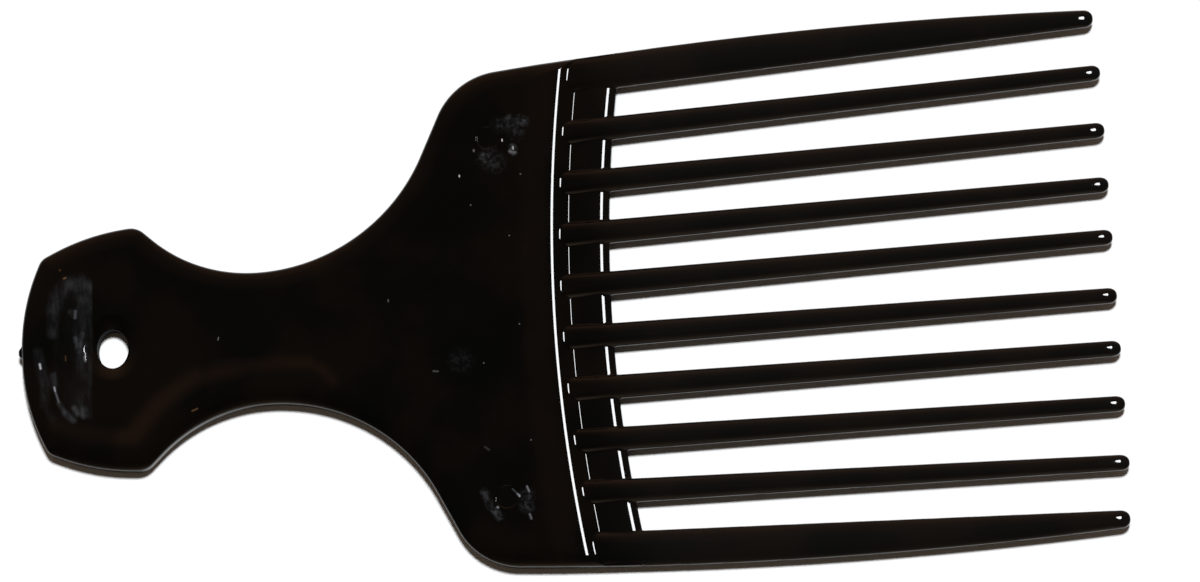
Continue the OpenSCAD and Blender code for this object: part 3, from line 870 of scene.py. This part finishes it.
def flow_patch_sheen(graph, place, x, y):
    """Painted sheen and glints of the dull flow patch between gate and hole"""
    leaning_x = graph.math("SUBTRACT", x, graph.times(y, PATCH_LEAN))
    across = graph.math("ABSOLUTE", graph.math("DIVIDE", y, PATCH_HALF_W))
    across = graph.math("POWER", across, PATCH_SQUARENESS)
    lengthwise = graph.math("DIVIDE", graph.math("SUBTRACT", leaning_x, PATCH_X), PATCH_L)
    lengthwise = graph.math("POWER", graph.math("ABSOLUTE", lengthwise), PATCH_SQUARENESS)
    patch = graph.fade(graph.math("ADD", across, lengthwise), *PATCH_RIM, 1.0, 0.0)
    straight_edge = graph.fade(leaning_x, *PATCH_EDGE_X, 1.0, 0.0)
    patch = graph.times(patch, straight_edge)
    patch = graph.times(patch, graph.fade(leaning_x, *PATCH_BRIGHTENS_X, *PATCH_SHEEN))
    strokes = graph.times(graph.marks(place, FLOW_SHEEN_STROKES, FLOW_SOFTNESS), straight_edge)
    patch = graph.math("ADD", patch, graph.times(strokes, FLOW_SHEEN_STRENGTH))
    stretched = graph.vector("MULTIPLY", place, STREAK_STRETCH)
    streaks = graph.noise(stretched, STREAKS_PER_MM, detail=3.0, roughness=0.6)
    return graph.times(patch, graph.fade(streaks, *STREAK_RANGE, *STREAK_STRENGTH))


def marks_and_painted_light(graph, place, x, y):
    """Colour added on the upper face: painted sheen and glints of the flow patch, smears with painted glints,
    painted glints of scratches, painted brown reflection bands, painted warm glints, and dust with painted
    glints
    """
    speckle = graph.noise(place, SPECKLES_PER_MM, detail=3.0, roughness=0.7)
    speckle = graph.fade(speckle, *SPECKLE_RANGE, *SPECKLE_STRENGTH)
    smears = graph.times(graph.marks(place, SMEARS_AND_GLINTS, SMEAR_SOFTNESS), speckle)
    # Painted sheen and glints, with the smears' haze, all in the cool tint
    dull = graph.math("ADD", flow_patch_sheen(graph, place, x, y), smears)
    dull = graph.math("MAXIMUM", dull, graph.marks(place, SCRATCH_GLINTS))
    return graph.added(
        graph.tinted(dull, SHEEN_TINT),
        graph.tinted(graph.marks(place, BROWN_REFLECTION_BANDS, REFLECTION_BAND_SOFTNESS), REFLECTION_BAND_TINT),
        graph.tinted(graph.marks(place, WARM_GLINTS), WARM_TINT),
        graph.tinted(graph.marks(place, DUST_AND_GLINTS), DUST_AND_GLINT_TINT),
    )


def hole_wall(graph, place, z):
    """1 on the hole's wall, 0 elsewhere"""
    from_middle = graph.vector("SUBTRACT", place, (HOLE_X, HOLE_Y, 0))
    turned = graph.length(from_middle, (1 / HOLE_HALF_L, 1 / HOLE_HALF_W, 0))
    return graph.times(graph.fade(turned, *WALL_ENDS, 1.0, 0.0), graph.fade(z, *WALL_TOPS, 1.0, 0.0))


def gloss_plastic():
    graph = Graph("gloss_black_plastic")
    place = graph.place_mm()
    x, y, z = graph.split(place)
    colour = graph.added(moulded_black(graph, place, x), marks_and_painted_light(graph, place, x, y))
    wall = hole_wall(graph, place, z)
    polish = graph.fade(graph.noise(place, POLISH_PATCHES_PER_MM), *POLISH_RANGE, *POLISH)
    roughness = graph.math("ADD", polish, graph.times(wall, WALL_ROUGHNESS))
    graph.put(graph.shader.inputs["Base Color"], colour)
    graph.put(graph.shader.inputs["Roughness"], roughness)
    graph.put(graph.shader.inputs["Specular IOR Level"], graph.fade(wall, 0.0, 1.0, GLOSS, WALL_GLOSS))
    graph.shader.inputs["IOR"].default_value = PLASTIC_IOR
    return graph.material


def paper():
    graph = Graph("paper")
    coords = graph.nodes.new("ShaderNodeTexCoord")
    place = graph.vector("SCALE", coords.outputs["Object"], 1 / MM)
    fibre = graph.noise(place, FIBRES_PER_MM, detail=4.0)
    tone = graph.fade(fibre, *FIBRE_RANGE, *PAPER_TONES)
    graph.put(graph.shader.inputs["Base Color"], graph.tinted(tone, (1.0, 1.0, 1.0)))
    graph.shader.inputs["Roughness"].default_value = 1
    graph.shader.inputs["Specular IOR Level"].default_value = 0
    return graph.material


# Stage


def add_floor():
    corners = [(x * FLOOR_HALF, y * FLOOR_HALF, 0) for x, y in ((-1, -1), (1, -1), (1, 1), (-1, 1))]
    mesh = bpy.data.meshes.new("floor")
    mesh.from_pydata(corners, [], [(0, 1, 2, 3)])
    floor = bpy.data.objects.new("floor", mesh)
    bpy.context.scene.collection.objects.link(floor)
    floor.data.materials.append(paper())
    floor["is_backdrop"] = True


def add_sun(name, strength, angle, mirrored):
    """A lamp east and north of overhead. The one that is seen mirrored in the plastic is dim enough to show
    its shape there, the other lights the paper"""
    lamp = bpy.data.lights.new(name, "SUN")
    lamp.energy = strength
    lamp.angle = angle
    lamp.color = LIGHT_COLOUR
    piece = bpy.data.objects.new(name, lamp)
    source = Vector((math.tan(LIGHT_EAST), math.tan(LIGHT_NORTH), 1))
    piece.rotation_euler = source.to_track_quat("Z", "Y").to_euler()
    bpy.context.scene.collection.objects.link(piece)
    piece.visible_glossy = mirrored


def add_world():
    """The room by its place from south to north, and white where the camera looks past the paper"""
    world = bpy.data.worlds.new("studio")
    bpy.context.scene.world = world
    world.use_nodes = True
    nodes, links = world.node_tree.nodes, world.node_tree.links
    background = nodes["Background"]
    background.inputs["Strength"].default_value = 1
    coords = nodes.new("ShaderNodeTexCoord")
    split = nodes.new("ShaderNodeSeparateXYZ")
    from_south = nodes.new("ShaderNodeMapRange")
    from_south.inputs["From Min"].default_value = -1
    ramp = nodes.new("ShaderNodeValToRGB")
    for share, _ in ROOM_LIGHT[1:-1]:
        ramp.color_ramp.elements.new(share)
    for element, (share, colour) in zip(ramp.color_ramp.elements, ROOM_LIGHT):
        element.position = share
        element.color = (*colour, 1)
    path = nodes.new("ShaderNodeLightPath")
    seen = nodes.new("ShaderNodeMix")
    seen.data_type = "RGBA"
    seen.inputs["B"].default_value = BACKDROP
    links.new(coords.outputs["Generated"], split.inputs[0])
    links.new(split.outputs["Y"], from_south.inputs[0])
    links.new(from_south.outputs[0], ramp.inputs[0])
    links.new(path.outputs["Is Camera Ray"], seen.inputs["Factor"])
    links.new(ramp.outputs["Color"], seen.inputs["A"])
    links.new(seen.outputs["Result"], background.inputs["Color"])


def add_camera():
    data = bpy.data.cameras.new("camera")
    data.sensor_fit = "HORIZONTAL"
    data.sensor_width = SENSOR_W
    data.lens = FOCAL_PIXELS * SENSOR_W / IMAGE_W
    data.clip_start, data.clip_end = NEAREST_SEEN, FARTHEST_SEEN
    camera = bpy.data.objects.new("camera", data)
    turned = Matrix.Rotation(-TURN, 3, "Z")
    turned = turned @ Matrix.Rotation(TILT_SIDE, 3, "Y") @ Matrix.Rotation(TILT_BACK, 3, "X")
    place_at = (Vector(AIM) + turned @ Vector((0, 0, DISTANCE))) * MM
    camera.matrix_world = Matrix.Translation(place_at) @ turned.to_4x4()
    bpy.context.scene.collection.objects.link(camera)
    bpy.context.scene.camera = camera


add_camera()
add_world()
add_floor()
add_sun("key", KEY_STRENGTH, KEY_ANGLE, mirrored=False)
add_sun("mirrored_key", MIRRORED_STRENGTH, MIRRORED_ANGLE, mirrored=True)
moulding = build_moulding()
moulding.data.materials.append(gloss_plastic())
bpy.context.scene.view_settings.view_transform = "Standard"

bpy.context.view_layer.update()
low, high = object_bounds()
